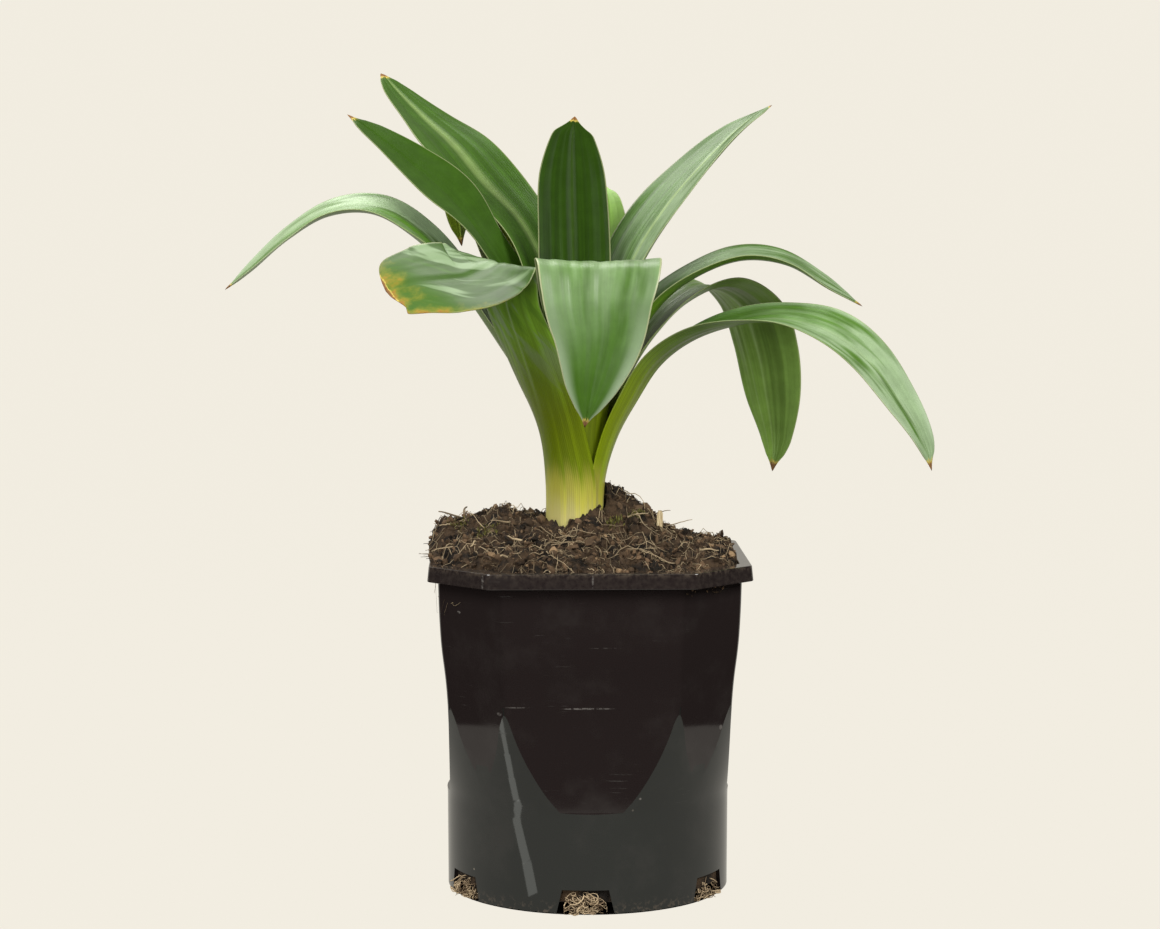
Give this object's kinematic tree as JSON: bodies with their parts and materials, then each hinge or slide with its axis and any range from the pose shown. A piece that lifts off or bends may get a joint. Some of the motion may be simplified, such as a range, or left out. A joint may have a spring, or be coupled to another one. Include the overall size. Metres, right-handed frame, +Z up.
{
  "type": "potted giant allium plant",
  "caption": "Young giant allium with broad arching strap leaves on a pale neck, growing in a black nursery pot with a flanged eight-sided rim and drainage notches.",
  "frame": {"origin": "middle of the flat standing face under the pot, on the ground", "axes": "+Z up along the pot, -Y towards the front leaf, +X to the right"},
  "size_m": [0.3717, 0.2443, 0.4352],
  "materials": {
    "pot_plastic": "glossy black with a soft sheen",
    "soil": "rough crumbly peat with fibres",
    "bulb": "dry papery skin",
    "bark": "pale weathered wood",
    "roots": "dry pale brown fibres",
    "leaf": "waxy grey-green blade, cream at the neck"
  },
  "bodies": {
    "root": {"pot": "pot_plastic", "soil": "soil", "bulb": "bulb", "bark_chip": "bark", "roots_front": "roots", "roots_left": "roots", "roots_right": "roots", "leaf_left_front": "leaf", "leaf_right_low": "leaf", "leaf_back_left": "leaf", "leaf_front": "leaf", "leaf_far_left": "leaf", "leaf_right_back": "leaf", "leaf_right_arch": "leaf", "leaf_upper_left": "leaf", "leaf_left_back": "leaf", "leaf_back_right": "leaf", "leaf_upper_right": "leaf", "leaf_back": "leaf"}
  },
  "joints": []
}
